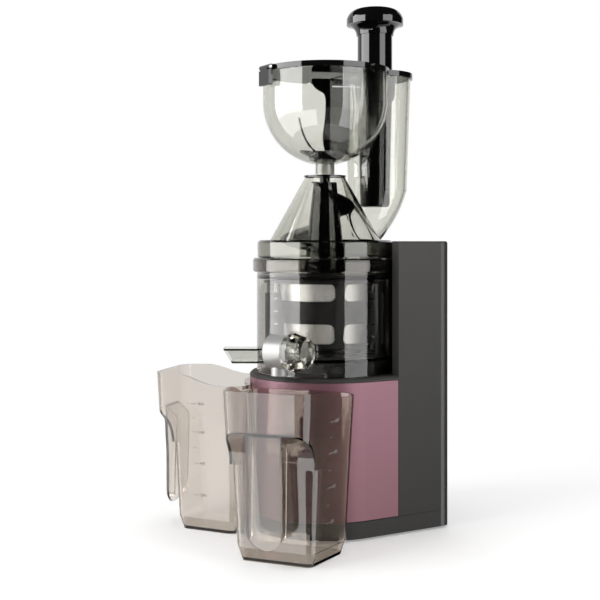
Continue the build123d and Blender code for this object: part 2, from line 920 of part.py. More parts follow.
gear_h = gear_high - gear_low
with BuildPart() as idler_pin:
    with BuildSketch(Plane.XY.offset(floor_low)):
        with Locations(idler_spot):
            Circle(idler_pin_r)
    extrude(amount=strain_low - gap - floor_low)
keep(idler_pin, "idler_pin")

idler_turn = idler_angle + 180 + 180 / idler_teeth
with BuildPart() as idler_gear:
    with BuildSketch(Plane(origin=(*idler_spot, gear_low))):
        gear(idler_teeth, idler_pin_r + fit, idler_turn)
    extrude(amount=gear_h)
keep(idler_gear, "idler_gear")

ring_root = gear_module * (ring_teeth / 2 + gear_dedendum)
post_high = basket_top - basket_t
with BuildPart() as wiper_basket:
    with BuildSketch(Plane.XY.offset(gear_low)):
        Circle(ring_root + ring_rim)
        Circle(ring_root, mode=Mode.SUBTRACT)
        teeth(ring_teeth, -1, idler_angle)
    extrude(amount=gear_h)
    with BuildSketch(Plane.XY.offset(gear_low)):
        Circle(basket_r)
        Circle(ring_root + ring_rim / 2, mode=Mode.SUBTRACT)
        with PolarLocations((ring_root + ring_rim + basket_r) / 2, web_holes):
            Circle(web_hole_r, mode=Mode.SUBTRACT)
    extrude(amount=basket_t)
    tube(basket_r, basket_r - basket_wall, post_high, basket_top)
    for step in range(basket_posts):
        post = outward(basket_angle + step * 360 / basket_posts)
        block(post, basket_r - 1.5 * basket_wall, basket_r - 0.02, post_w, gear_low, basket_top)
    with BuildSketch(Plane.XY.offset(gear_low)):
        Circle(basket_r)
    extrude(amount=basket_top - gear_low, mode=Mode.INTERSECT)
    for step in range(basket_posts):
        post = outward(basket_angle + step * 360 / basket_posts)
        block(
            post, ring_root + ring_rim, bowl_r, brush_t, brush_low, brush_high, mode=Mode.SUBTRACT
        )
keep(wiper_basket, "wiper_basket")

with BuildPart() as wiper_blades:
    for step in range(basket_posts):
        with BuildSketch(upright(basket_angle + step * 360 / basket_posts)):
            with BuildLine():
                Polyline(
                    (strainer_radius(brush_low) + brush_gap, brush_low),
                    (bowl_bore - gap, brush_low),
                    (bowl_bore - gap, brush_high),
                    (strainer_radius(brush_high) + brush_gap, brush_high),
                    close=True,
                )
            make_face()
            with Locations((basket_r - 2 * basket_wall - brush_w / 2, (brush_low + brush_high) / 2)):
                with GridLocations(1, (brush_high - brush_low) / brush_slots, 1, brush_slots):
                    SlotOverall(brush_w, brush_t, mode=Mode.SUBTRACT)
        extrude(amount=brush_t / 2, both=True)
keep(wiper_blades, "wiper_blades")

# ---------------------------------------------------------------- strainer

strain_bore_top = strain_top_r - strain_wall
with BuildPart() as strainer_frame:
    turned(
        [
            (floor_hole_r, strain_low),
            (strain_low_r, strain_low),
            (strain_top_r, strain_high),
            (brim_r, strain_high),
            (brim_r, strain_high + brim_t),
            (strain_bore_top, strain_high + brim_t),
            (strain_bore_top, strain_high),
            (strainer_radius(strain_low + strain_floor) - strain_wall, strain_low + strain_floor),
            (floor_hole_r, strain_low + strain_floor),
        ]
    )
    for low, high in (window_low, window_high):
        for step in range(window_count):
            wall = upright(window_rib_angle + (step + 0.5) * 360 / window_count + 90)
            half_w = strainer_radius(low) * sin(radians(window_angle / 2))
            with BuildSketch(wall):
                with Locations((0, (low + high) / 2)):
                    RectangleRounded(2 * half_w, high - low, window_corner)
            extrude(amount=strain_top_r + strain_wall, mode=Mode.SUBTRACT)
    pulp_way = outward(spout_angle)
    block(
        pulp_way,
        pulp_hole_in,
        pulp_hole_out,
        duct_in - 2 * duct_wall,
        strain_low - 1,
        strain_low + strain_floor + 1,
        mode=Mode.SUBTRACT,
    )
keep(strainer_frame, "strainer_frame")

mesh_out = strain_wall + mesh_gap
mesh_low = window_low[0] - mesh_over
mesh_high = window_high[1] + mesh_over
with BuildPart() as strainer_mesh:
    turned(
        [
            (strainer_radius(mesh_low) - mesh_out, mesh_low),
            (strainer_radius(mesh_high) - mesh_out, mesh_high),
            (strainer_radius(mesh_high) - mesh_out - mesh_t, mesh_high),
            (strainer_radius(mesh_low) - mesh_out - mesh_t, mesh_low),
        ]
    )
keep(strainer_mesh, "strainer_mesh")

# ---------------------------------------------------------------- auger

sweep_low = mesh_out + mesh_t + flight_gap
throat_slope = (throat_low_r - throat_top_r) / (throat_top - lid_high)
with BuildPart() as flights:
    for start in range(flight_starts):
        with BuildSketch(Plane.XY.offset(auger_foot), mode=Mode.PRIVATE) as bar:
            with Locations(Rotation(0, 0, start * 360 / flight_starts)):
                with Locations((strain_top_r / 2, 0)):
                    Rectangle(strain_top_r, flight_t)
        add(
            Solid.extrude_linear_with_rotation(
                bar.sketch.faces()[0], (0, 0, auger_foot), (0, 0, auger_shoulder - auger_foot), flight_turn
            )
        )
    turned(
        [
            (0, auger_foot),
            (core_foot_r, auger_foot),
            (strainer_radius(auger_foot + flight_rise) - sweep_low, auger_foot + flight_rise),
            (strainer_radius(auger_shoulder) - sweep_low, auger_shoulder),
            (0, auger_shoulder),
        ],
        mode=Mode.INTERSECT,
    )

with BuildPart() as throat_blade:
    with BuildSketch(Plane.XY.offset(blade_low), mode=Mode.PRIVATE) as bar:
        with Locations((throat_low_r / 2, 0)):
            Rectangle(throat_low_r, blade_t)
    add(
        Solid.extrude_linear_with_rotation(
            bar.sketch.faces()[0], (0, 0, blade_low), (0, 0, auger_top - blade_low), blade_turn
        )
    )
    turned(
        [
            (0, blade_low),
            (core_mid_r + 1, blade_low),
            (blade_low_r, blade_low + flight_rise),
            (blade_low_r, lid_high - blade_gap),
            (throat_top_r + throat_slope * (throat_top - auger_top) - blade_gap, auger_top),
            (0, auger_top),
        ],
        mode=Mode.INTERSECT,
    )

with BuildPart() as auger:
    turned(
        [
            (0, auger_foot),
            (core_foot_r, auger_foot),
            (core_low_r, auger_foot + core_rise),
            (core_mid_r, auger_shoulder),
            (core_top_r, auger_top),
            (journal_r, auger_top),
            (journal_r, throat_top + disc_t + gap / 2),
            (0, throat_top + disc_t + gap / 2),
        ]
    )
    add(flights.part)
    add(throat_blade.part)
    with BuildSketch(Plane.XY.offset(throat_top)):
        Circle(journal_r)
        Rectangle(2 * journal_r, dog_t, mode=Mode.INTERSECT)
    extrude(amount=dog_top - throat_top)
    with BuildSketch(Plane.XY.offset(gear_low)):
        Circle(core_foot_r)
    extrude(amount=auger_foot - gear_low)
    with BuildSketch(Plane.XY.offset(gear_low)):
        Circle(core_foot_r)
        Circle(gear_module * (auger_teeth / 2 - gear_dedendum), mode=Mode.SUBTRACT)
    extrude(amount=gear_h, mode=Mode.SUBTRACT)
    with BuildSketch(Plane.XY.offset(gear_low)):
        gear(auger_teeth, bush_r, idler_angle)
    extrude(amount=gear_h)
    with BuildSketch(Plane.XY.offset(gear_low)):
        Circle(bush_r)
    extrude(amount=bush_high - gear_low, mode=Mode.SUBTRACT)
keep(auger, "auger")

with BuildPart() as auger_bush:
    with BuildSketch(Plane.XY.offset(hub_low + seal_h + gap)):
        Circle(bush_r)
    extrude(amount=bush_high - hub_low - seal_h - gap)
    with BuildSketch(Plane.XY.offset(hub_low + seal_h + gap)):
        RegularPolygon(hex_af / 2 + gap / 2, 6, major_radius=False)
    extrude(amount=hex_high + gap - hub_low - seal_h, mode=Mode.SUBTRACT)
keep(auger_bush, "auger_bush")

# ---------------------------------------------------------------- drum lid with throat and inlet


def leaning_tube(spots):
    """A solid lofted through level circles, each (y, z, radius), one above the other."""
    levels = []
    for y, z, radius in spots:
        with BuildSketch(Plane.XY.offset(z)) as level:
            with Locations((0, y)):
                Circle(radius)
        levels.append(level.sketch.faces()[0])
    return loft(levels, mode=Mode.PRIVATE)


def inlet_tube(inset):
    """The side inlet's solid, or with an inset its bore."""
    foot = (inlet_y, inlet_low, inlet_r - inset)
    middle = (inlet_mid_y, inlet_mid, inlet_mid_r - inset)
    return leaning_tube([foot, middle, (chute_y, inlet_top, inlet_top_r - inset)])


lid_low = collar_high
tongue_r = bowl_bore - gap
tongue_low = strain_high + brim_t + gap
inlet_low = lid_high - lid_wall
with BuildPart() as drum_lid:
    turned(
        [
            (0, tongue_low),
            (tongue_r, tongue_low),
            (tongue_r, lid_low),
            (lid_r - edge_r / 2, lid_low),
            (lid_r, lid_low + edge_r / 2),
            (lid_r, lid_high - edge_r),
            (lid_r - edge_r, lid_high),
            (throat_low_r, lid_high),
            (throat_top_r, throat_top),
            (0, throat_top),
        ]
    )
    add(inlet_tube(0))
    turned(
        [
            (0, tongue_low),
            (tongue_r - lid_wall, tongue_low),
            (tongue_r - lid_wall, lid_high - lid_wall),
            (throat_low_r - lid_wall, lid_high - lid_wall),
            (throat_top_r - lid_wall, throat_top),
            (0, throat_top),
        ],
        mode=Mode.SUBTRACT,
    )
    add(inlet_tube(hopper_wall), mode=Mode.SUBTRACT)
keep(drum_lid, "drum_lid")

with BuildPart() as throat_disc:
    turned(
        [
            (journal_r + fit, throat_top),
            (disc_r, throat_top),
            (disc_r, throat_top + disc_t),
            (journal_r + fit, throat_top + disc_t),
        ]
    )
keep(throat_disc, "throat_disc")

# ---------------------------------------------------------------- hopper

hopper_in = hopper_r - hopper_wall
hopper_foot = hopper_mid - hopper_r
chute_low = inlet_top + gap
neck_low = throat_top + disc_t + gap


def round_bowl(radius, low_r, low):
    """A solid of the hopper's shape: upright above a half ball, with a neck below."""
    with BuildSketch(Plane.XZ) as outline:
        with BuildLine():
            meet = hopper_mid - sqrt(radius**2 - low_r**2)
            arc = CenterArc((0, hopper_mid), radius, -90, 90)
            Polyline(arc @ 1, (radius, hopper_top), (0, hopper_top), arc @ 0)
        make_face()
        if low < meet:
            with BuildLine():
                Polyline((0, low), (low_r, low), (low_r, meet + 1), (0, meet + 1), close=True)
            make_face()
    return revolve(outline.sketch, axis=Axis.Z, mode=Mode.PRIVATE)


with BuildPart() as hopper_shell:
    add(round_bowl(hopper_r, neck_r, neck_low))
    add(round_bowl(hopper_in, neck_bore, hopper_mid), mode=Mode.SUBTRACT)
    add(leaning_tube([(chute_y, chute_low, chute_low_r), (chute_y, hopper_top, chute_top_r)]))
    add(
        leaning_tube(
            [
                (chute_y, chute_low, chute_low_r - hopper_wall),
                (chute_y, hopper_top, chute_top_r - hopper_wall),
            ]
        ),
        mode=Mode.SUBTRACT,
    )
    with BuildSketch(Plane.XY.offset(neck_low)):
        Circle(neck_bore)
    extrude(amount=hopper_mid - neck_low, mode=Mode.SUBTRACT)
    with BuildSketch(Plane.XY.offset(catch_low)):
        with Locations((0, -hopper_r)):
            Rectangle(latch_w, 2 * catch_out)
        Circle(hopper_in + hopper_wall / 2, mode=Mode.SUBTRACT)
    extrude(amount=catch_h)
keep(hopper_shell, "hopper_shell")

with BuildPart() as neck_bush:
    tube(neck_bore, rotor_shaft_r + fit, neck_low, hopper_foot + hopper_wall)
keep(neck_bush, "neck_bush")

with BuildPart() as feed_rotor:
    turned(
        [
            (0, rotor_low),
            (rotor_shaft_r, rotor_low),
            (rotor_shaft_r, rotor_disc_low),
            (rotor_hub_r, rotor_disc_low),
            (rotor_hub_r, rotor_disc_low + rotor_t),
            (rotor_shaft_r, rotor_disc_low + 3 * rotor_t),
            (0, rotor_disc_low + 4 * rotor_t),
        ]
    )
    sweep_r = hopper_in - rotor_gap
    for turn, reach in rotor_fins:
        with BuildSketch(upright(turn)):
            with BuildLine():
                under = CenterArc((0, hopper_mid), sweep_r, -90, degrees(asin(reach / sweep_r)))
                end = Line(under @ 1, under @ 1 + Vector(-rotor_t / 2, rotor_t))
                over = TangentArc((0, hopper_mid - sweep_r + rotor_fin), end @ 1, tangent=(1, 0))
                Line(over @ 0, under @ 0)
            make_face()
        extrude(amount=rotor_t / 2, both=True)
    # the slot across its foot leaves two lugs beside the tongue, with play for the lid's turn
    half_play = lid_turn / 2 + dog_play
    lug_at = (dog_t + gap) / 2 / cos(radians(half_play))
    lug_out = 2 * rotor_shaft_r
    lug_half = lug_out / tan(radians(half_play))
    with BuildSketch(Plane.XY.offset(rotor_low)):
        Circle(rotor_shaft_r)
        for way in (-1, 1):
            with Locations(Rotation(0, 0, way * 90 - lid_turn / 2)):
                lug = [(lug_at, 0), (lug_at + lug_out, -lug_half), (lug_at + lug_out, lug_half)]
                Polygon(*lug, align=None, mode=Mode.SUBTRACT)
    extrude(amount=dog_top + gap - rotor_low, mode=Mode.SUBTRACT)
keep(feed_rotor, "feed_rotor")

# ---------------------------------------------------------------- the hopper's lid, latch and collar

lid_rim = hopper_r + deck_over
knuckle_edge = hinge_y + knuckle_r + gap
hinge_line = Plane.YZ.offset(-hinge_half)
with BuildPart() as hopper_deck:
    with BuildSketch(Plane.XY.offset(hopper_top)):
        Circle(lid_rim)
        with Locations((0, chute_y)):
            Circle(chute_top_r + deck_over)
        with Locations((0, knuckle_edge - lid_rim)):
            Rectangle(2 * lid_rim, 2 * lid_rim, mode=Mode.SUBTRACT)
        with Locations((0, pusher_y)):
            Circle(collar_hole, mode=Mode.SUBTRACT)
    extrude(amount=deck_top - hopper_top)
    for plane in (hinge_line, Plane.YZ.offset(knuckle_half + gap)):
        with BuildSketch(plane):
            with Locations((hinge_y, hinge_z)):
                Circle(knuckle_r)
            with Locations((hinge_y + knuckle_r, hinge_z)):
                Rectangle(2 * knuckle_r, 2 * knuckle_r)
        extrude(amount=hinge_half - knuckle_half - gap)
    with BuildSketch(hinge_line):
        with Locations((hinge_y, hinge_z)):
            Circle(hinge_pin_r)
    extrude(amount=2 * hinge_half, mode=Mode.SUBTRACT)
keep(hopper_deck, "hopper_deck")

with BuildPart() as hinge_pin:
    with BuildSketch(hinge_line):
        with Locations((hinge_y, hinge_z)):
            Circle(hinge_pin_r)
    extrude(amount=2 * hinge_half)
keep(hinge_pin, "hinge_pin")

with BuildPart() as chute_collar:
    tube(collar_hole + collar_wall, collar_hole, hopper_top - collar_drop, hopper_top, pusher_y)
    with BuildSketch(Plane.YZ.offset(-2 * collar_hole)):
        with Locations((pusher_y, hopper_top)):
            Rectangle(4 * collar_hole, 2 * collar_ring)
        with Locations((pusher_y, hopper_top - collar_drop + tongue_half)):
            Circle(tongue_half)
        with Locations((pusher_y, hopper_top - (collar_drop - tongue_half) / 2)):
            Rectangle(2 * tongue_half, collar_drop - tongue_half)
    extrude(amount=4 * collar_hole, mode=Mode.INTERSECT)
keep(chute_collar, "chute_collar")

flip_low = hopper_top + gap
latch_y = -lid_rim - knuckle_r - gap
latch_face = -hopper_r - catch_out - gap
with BuildPart() as flip_lid:
    with BuildSketch(Plane.XY.offset(flip_low)):
        Circle(lid_rim)
        with Locations((0, hinge_y + lid_rim)):
            Rectangle(2 * lid_rim, 2 * lid_rim, mode=Mode.SUBTRACT)
        for way in (-1, 1):
            with Locations((way * (knuckle_half + lid_rim / 2), hinge_y)):
                Rectangle(lid_rim, 2 * knuckle_r + 2 * gap, mode=Mode.SUBTRACT)
    extrude(amount=deck_top - flip_low)
    with BuildSketch(Plane.YZ.offset(-knuckle_half)):
        with Locations((hinge_y, hinge_z)):
            Circle(knuckle_r)
    extrude(amount=2 * knuckle_half)
    with BuildSketch(hinge_line):
        with Locations((hinge_y, hinge_z)):
            Circle(hinge_pin_r + fit)
    extrude(amount=2 * hinge_half, mode=Mode.SUBTRACT)
    for way in (-1, 1):
        with BuildSketch(Plane.YZ.offset(way * (ear_at + ear_t / 2))):
            with Locations((latch_y, hinge_z)):
                Circle(knuckle_r)
            with Locations(((latch_y - lid_rim + ear_root) / 2, hinge_z)):
                Rectangle(ear_root - lid_rim - latch_y, 2 * knuckle_r)
            with Locations((latch_y, hinge_z)):
                Circle(latch_pin_r, mode=Mode.SUBTRACT)
        extrude(amount=ear_t / 2, both=True)
keep(flip_lid, "flip_lid")

with BuildPart() as latch:
    with BuildSketch(Plane.YZ):
        with Locations((latch_y, hinge_z)):
            Circle(knuckle_r)
        with Locations(((latch_y - knuckle_r + latch_face) / 2, (hinge_z + latch_low) / 2)):
            Rectangle(latch_face - latch_y + knuckle_r, hinge_z - latch_low)
    extrude(amount=latch_w / 2, both=True)
    fillet(latch.faces().sort_by(Axis.Z)[0].edges(), edge_r / 2)
    for way in (-1, 1):
        with BuildSketch(Plane.YZ.offset(way * latch_w)):
            with Locations((latch_y, hinge_z + knuckle_r)):
                Rectangle(4 * knuckle_r, 2 * (2 * knuckle_r + gap))
        extrude(amount=-way * (latch_w - ear_at + gap), mode=Mode.SUBTRACT)
    with BuildSketch(Plane.YZ):
        with Locations((latch_y, hinge_z)):
            Circle(latch_pin_r + fit)
    extrude(amount=latch_w, both=True, mode=Mode.SUBTRACT)
keep(latch, "latch")

with BuildPart() as latch_pin:
    with BuildSketch(Plane.YZ):
        with Locations((latch_y, hinge_z)):
            Circle(latch_pin_r)
    extrude(amount=ear_at + ear_t, both=True)
keep(latch_pin, "latch_pin")

# ---------------------------------------------------------------- pusher

with BuildPart() as pusher_body:
    turned(
        [
            (0, pusher_low),
            (pusher_low_r - edge_r, pusher_low),
            (pusher_low_r, pusher_low + edge_r),
            (pusher_top_r, hopper_top),
            (pusher_top_r, pusher_top),
            (pusher_top_r - pusher_wall, pusher_top),
            (pusher_top_r - pusher_wall, hopper_top),
            (pusher_low_r - pusher_wall, pusher_low + edge_r + pusher_wall),
            (0, pusher_low + pusher_wall),
        ],
        pusher_y,
    )
keep(pusher_body, "pusher_body")

with BuildPart() as pusher_cap:
    with BuildSketch(Plane.XZ.offset(-pusher_y)) as cap_outline:
        with BuildLine():
            cap_low = pusher_top - cap_skirt
            cap_top = cap_low + cap_h
            rim = Polyline(
                (0, pusher_top),
                (pusher_top_r, pusher_top),
                (pusher_top_r, cap_low),
                (pusher_top_r + cap_lip, cap_low),
            )
            flare = TangentArc(rim @ 1, (cap_r, cap_low + cap_flare), tangent=(0, 1))
            band = Line(flare @ 1, flare @ 1 + Vector(0, cap_side))
            shoulder = ((2 * cap_r + pusher_low_r) / 3, cap_top - 1.5 * edge_r)
            dome = ThreePointArc(band @ 1, shoulder, (pusher_low_r, cap_top - gap))
            Polyline(dome @ 1, (0, cap_top), rim @ 0)
        make_face()
    revolve(cap_outline.sketch, axis=Axis((0, pusher_y, 0), (0, 0, 1)))
keep(pusher_cap, "pusher_cap")

# ---------------------------------------------------------------- jugs


def jug_half(u, grow):
    """Half the width at a distance from the foot's back edge, of a form grown outwards all round."""
    flare = radians(jug_flare)
    return jug_end_half + (jug_len - u) * tan(flare) + grow / cos(flare)


def jug_end(z):
    """How far out the mouth's end is at a height."""
    return jug_len + jug_over + z * tan(radians(jug_draft))


def drafted(plan, inset, low, length):
    """A rounded trapezoid drawn out upwards from the height low with the jug's draft."""
    levels = []
    for height in (low, jug_tuck_z, jug_rim_high + jug_wall):
        grow = height * tan(radians(jug_draft)) - inset
        grow -= jug_tuck * max(0, 1 - height / jug_tuck_z)
        back, end = -grow, length + grow
        with BuildSketch(plan.offset(height)) as level:
            with BuildLine() as outline:
                Polyline(
                    (back, -jug_half(back, grow)),
                    (end, -jug_half(end, grow)),
                    (end, jug_half(end, grow)),
                    (back, jug_half(back, grow)),
                    close=True,
                )
            make_face(outline.edges())
            fillet(level.vertices(), jug_corner + grow)
        levels.append(level.sketch.faces()[0])
    return loft(levels, ruled=True, mode=Mode.PRIVATE)


def jug_form(across, inset, low):
    """A jug's outer form, or with an inset its inner one, up to the rim's line."""
    plan = Plane(across.origin, x_dir=across.x_dir, z_dir=(0, 0, 1))
    wide = jug_half(0, jug_wall) + jug_rim_high * tan(radians(jug_draft))
    over = jug_rim_high + 2 * jug_wall
    with BuildPart() as form:
        add(drafted(plan, inset, low, jug_len + jug_over))
        with BuildSketch(across):
            with BuildLine():
                neck = (jug_len + jug_neck_z * tan(radians(jug_draft)) - inset, jug_neck_z)
                throat = (jug_throat[0] - inset, jug_throat[1] + inset / 2)
                brow = (jug_end(jug_brow_z) + jug_wall - inset, jug_brow_z + inset / 2)
                under = Spline(neck, throat, brow, tangents=((0, 1), (1, 1)))
                Polyline(under @ 1, (under @ 1) + Vector(0, over), (0, over), (0, neck[1]), neck)
            make_face()
        extrude(amount=wide, both=True, mode=Mode.INTERSECT)
        add(drafted(plan, inset, low, jug_len))
        with BuildSketch(across):
            with BuildLine():
                top = jug_end(jug_rim_high)
                crest = Line((top + jug_wall, jug_rim_high), (top - jug_crest, jug_rim_high))
                low_at = top - jug_crest - jug_slope
                fall = Spline(crest @ 1, (low_at, jug_rim_low), tangents=((-1, 0), (-1, 0)))
                Polyline(fall @ 1, (-jug_len, jug_rim_low), (-jug_len, 2 * over), (2 * over, 2 * over))
                Polyline((2 * over, 2 * over), (2 * over, jug_rim_high), crest @ 0)
            make_face()
        if inset == 0:
            extrude(amount=wide, both=True, mode=Mode.SUBTRACT)
    return form.part


def jug(turn, out, side):
    """One clear jug: a hollow body that widens into a mouth, with a handle hanging from the mouth's end."""
    away = base_r + out
    across = upright(turn, (away * cos(radians(turn)), away * sin(radians(turn))), side)
    hollow = jug_form(across, jug_wall, jug_floor)
    add(jug_form(across, 0, 0))
    with BuildSketch(Plane.XY) as hug:
        Circle(base_r + jug_gap)
    extrude(hug.sketch, amount=jug_rim_high, mode=Mode.SUBTRACT)
    with BuildPart(mode=Mode.PRIVATE) as cavity:
        add(hollow)
        with BuildSketch(Plane.XY) as hug:
            Circle(base_r + jug_gap + jug_wall)
        extrude(hug.sketch, amount=2 * jug_rim_high, mode=Mode.SUBTRACT)
    add(cavity.part, mode=Mode.SUBTRACT)
    with BuildPart(mode=Mode.PRIVATE) as handle:
        reach = jug_end(jug_brow_z)
        with BuildSketch(across):
            with BuildLine():
                Polyline(
                    (reach, jug_brow_z + jug_wall),
                    (jug_end(handle_mid), handle_mid),
                    (reach - handle_lean, handle_low),
                    (reach - handle_lean - handle_low_t, handle_low),
                    (reach - handle_top_t, jug_brow_z - handle_top_t),
                    (reach - handle_top_t, jug_brow_z + jug_wall),
                    close=True,
                )
            make_face()
        extrude(amount=handle_w / 2, both=True)
        with BuildSketch(across):
            with BuildLine():
                Polyline(
                    (reach - handle_wall, jug_brow_z + jug_wall),
                    (jug_end(handle_mid) - handle_wall, handle_mid),
                    (reach - handle_lean - handle_wall, 0),
                    (0, 0),
                    (0, jug_brow_z + jug_wall),
                    close=True,
                )
            make_face()
        extrude(amount=handle_w / 2 - handle_wall, both=True, mode=Mode.SUBTRACT)
        with BuildSketch(upright(turn + 90, (across.origin.X, across.origin.Y))):
            with Locations((0, handle_low + handle_w / 2)):
                Circle(handle_w / 2)
            with Locations((0, handle_low + handle_w / 2 + jug_rim_high / 2)):
                Rectangle(handle_w, jug_rim_high)
        extrude(amount=2 * reach, both=True, mode=Mode.INTERSECT)
    add(handle.part)
    add(cavity.part, mode=Mode.SUBTRACT)


with BuildPart() as juice_jug:
    jug(juice_jug_turn, juice_jug_out, juice_jug_side)
keep(juice_jug, "juice_jug")

with BuildPart() as pulp_jug:
    jug(pulp_jug_turn, pulp_jug_out, pulp_jug_side)
keep(pulp_jug, "pulp_jug")
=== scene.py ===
from math import asin, cos, log, pi, radians, sin

import bpy
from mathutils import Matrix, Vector
from mathutils.bvhtree import BVHTree


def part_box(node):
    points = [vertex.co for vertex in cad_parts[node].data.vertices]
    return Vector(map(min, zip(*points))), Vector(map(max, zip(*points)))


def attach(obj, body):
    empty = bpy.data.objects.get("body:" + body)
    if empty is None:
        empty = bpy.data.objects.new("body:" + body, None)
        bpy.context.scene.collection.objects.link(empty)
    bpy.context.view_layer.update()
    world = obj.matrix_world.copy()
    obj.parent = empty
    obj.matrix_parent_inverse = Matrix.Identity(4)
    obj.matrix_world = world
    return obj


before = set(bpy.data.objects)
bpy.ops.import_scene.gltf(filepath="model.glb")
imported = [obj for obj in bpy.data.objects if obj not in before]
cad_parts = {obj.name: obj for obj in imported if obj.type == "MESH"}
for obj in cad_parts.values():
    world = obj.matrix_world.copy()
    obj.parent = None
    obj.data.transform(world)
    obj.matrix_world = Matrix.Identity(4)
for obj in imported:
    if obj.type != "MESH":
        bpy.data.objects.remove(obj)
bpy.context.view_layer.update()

# ---- bottom plate and foot ring ----
# A black moulded plate closes the base from below, screwed up into the housing. One ring of soft
# rubber is pressed into it and is all that touches the table.


class Wire:
    """A shader value that Python's operators work on, each adding its Math node."""

    def __init__(self, finish, socket):
        self.finish = finish
        self.socket = socket

    def maths(self, operation, first, second):
        return self.finish.node("Math", {"operation": operation}, {0: first, 1: second})

    def __add__(self, other):
        return self.maths("ADD", self, other)

    def __radd__(self, other):
        return self.maths("ADD", other, self)

    def __sub__(self, other):
        return self.maths("SUBTRACT", self, other)

    def __rsub__(self, other):
        return self.maths("SUBTRACT", other, self)

    def __mul__(self, other):
        return self.maths("MULTIPLY", self, other)

    def __rmul__(self, other):
        return self.maths("MULTIPLY", other, self)

    def __abs__(self):
        return self.maths("ABSOLUTE", self, 0)

    def __lt__(self, other):
        return self.maths("LESS_THAN", self, other)


class Finish:
    """A material or a world while it is made: each node's output comes back as a wire."""

    def __init__(self, name, kind=bpy.data.materials, end="OutputMaterial"):
        self.made = kind.new(name)
        self.made.use_nodes = True
        self.tree = self.made.node_tree
        self.tree.nodes.clear()
        self.end = end

    def node(self, kind, settings=None, feeds=None, output=0):
        added = self.tree.nodes.new("ShaderNode" + kind)
        for name, value in (settings or {}).items():
            setattr(added, name, value)
        for name, value in (feeds or {}).items():
            if isinstance(value, Wire):
                self.tree.links.new(added.inputs[name], value.socket)
            else:
                added.inputs[name].default_value = value
        return Wire(self, added.outputs[output])

    def place(self):
        """Where a point is on the machine, in metres."""
        return self.node("TexCoord", output="Object")

    def height(self):
        return self.node("SeparateXYZ", None, {0: self.place()}, "Z")

    def noise(self, scale, detail=2, stretch=(1, 1, 1)):
        spread = self.node("VectorMath", {"operation": "MULTIPLY"}, {0: self.place(), 1: stretch})
        return self.node("TexNoise", None, {"Vector": spread, "Scale": scale, "Detail": detail})

    def mix(self, share, one, other):
        """A colour between two, by share."""
        return self.node("Mix", {"data_type": "RGBA"}, {0: share, 6: one, 7: other}, 2)

    def shades(self, share, tone, spread):
        """A colour that wanders about a tone by a share of it."""
        low = [*[part * (1 - spread) for part in tone], 1]
        high = [*[part * (1 + spread) for part in tone], 1]
        return self.mix(share, low, high)

    def bump(self, height, depth, strength=1.0):
        return self.node("Bump", None, {"Height": height, "Distance": depth, "Strength": strength})

    def done(self, surface, volume=None):
        end = self.tree.nodes.new("ShaderNode" + self.end)
        self.tree.links.new(end.inputs["Surface"], surface.socket)
        if volume:
            self.tree.links.new(end.inputs["Volume"], volume.socket)
        return self.made


def moulded(name, tone, rough, grain_depth):
    """Opaque plastic or rubber from a grained mould, with faint flow clouds."""
    made = Finish(name)
    grain = made.noise(2400)
    cloud = made.noise(22, 3)
    feeds = {
        "Base Color": made.shades(cloud, tone, 0.14),
        "Roughness": rough + cloud * 0.08,
        "Normal": made.bump(grain, grain_depth, 0.6),
    }
    return made.done(made.node("BsdfPrincipled", None, feeds))


def dress(material, *nodes):
    """Gives CAD nodes their finish."""
    for node in nodes:
        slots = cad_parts[node].data.materials
        slots.clear()
        slots.append(material)


cover_black = moulded("cover_black", (0.013, 0.012, 0.013), 0.38, 0.00003)
rubber_black = moulded("rubber_black", (0.02, 0.02, 0.02), 0.7, 0.00004)
dress(cover_black, "bottom_plate")
dress(rubber_black, "foot_ring")

# ---- motor housing and its screws ----
# The housing is one D-shaped moulding with the tower that stands behind the bowl, in warm dark grey
# plastic with a fine grain. A thin parting line runs round it above the foot, and steel screws hold it.

parting_height = 0.0185
parting_half = 0.0003
housing_painted_shade_top = 0.28  # the grey gets lighter from the foot up to this height


def housing_grey():
    made = Finish("housing_grey")
    grain = made.noise(2600)
    cloud = made.noise(14, 3)
    parting = abs(made.height() - parting_height) < parting_half
    # Painted shade: the grey is painted darker towards the foot and lighter upwards, in place of light that
    # falls off downwards.
    up = made.node("MapRange", {"clamp": True}, {0: made.height(), 1: 0.0, 2: housing_painted_shade_top})
    tone = made.mix(up, (0.022, 0.021, 0.020, 1), (0.062, 0.060, 0.058, 1))
    plain = made.mix(cloud * 0.3, tone, (0.045, 0.0437, 0.042, 1))
    feeds = {
        "Base Color": made.mix(parting, plain, (0.012, 0.012, 0.011, 1)),
        "Roughness": 0.5 + cloud * 0.1,
        "Specular IOR Level": 0.15,
        "Normal": made.bump(grain - parting * 6, 0.00004, 0.6),
    }
    return made.done(made.node("BsdfPrincipled", None, feeds))


def turned(name, tone, rough, ring_scale=900):
    """Bare metal with the fine rings that a lathe or a drawing die leaves."""
    made = Finish(name)
    rings = made.noise(ring_scale, 2, (0.05, 0.05, 1))
    smear = made.noise(60, 3)
    feeds = {
        "Base Color": made.shades(smear, tone, 0.08),
        "Metallic": 1.0,
        "Roughness": rough + smear * 0.1,
        "Normal": made.bump(rings, 0.00001, 0.5),
    }
    return made.done(made.node("BsdfPrincipled", None, feeds))


steel = turned("turned_steel", (0.6, 0.6, 0.61), 0.2)
dress(housing_grey(), "motor_housing")
dress(steel, "housing_screws")

# ---- motor and gearbox ----
# The motor stands in a drawn steel can in the base: a wound stator, a rotor on its shaft with a small
# fan below it, and a cast gearbox on top. The control board stands on posts beside it.

dress(steel, "motor_can", "motor_shaft", "gearbox_screws")
dress(turned("wound_copper", (0.42, 0.22, 0.12), 0.35, 2500), "stator", "rotor_core")


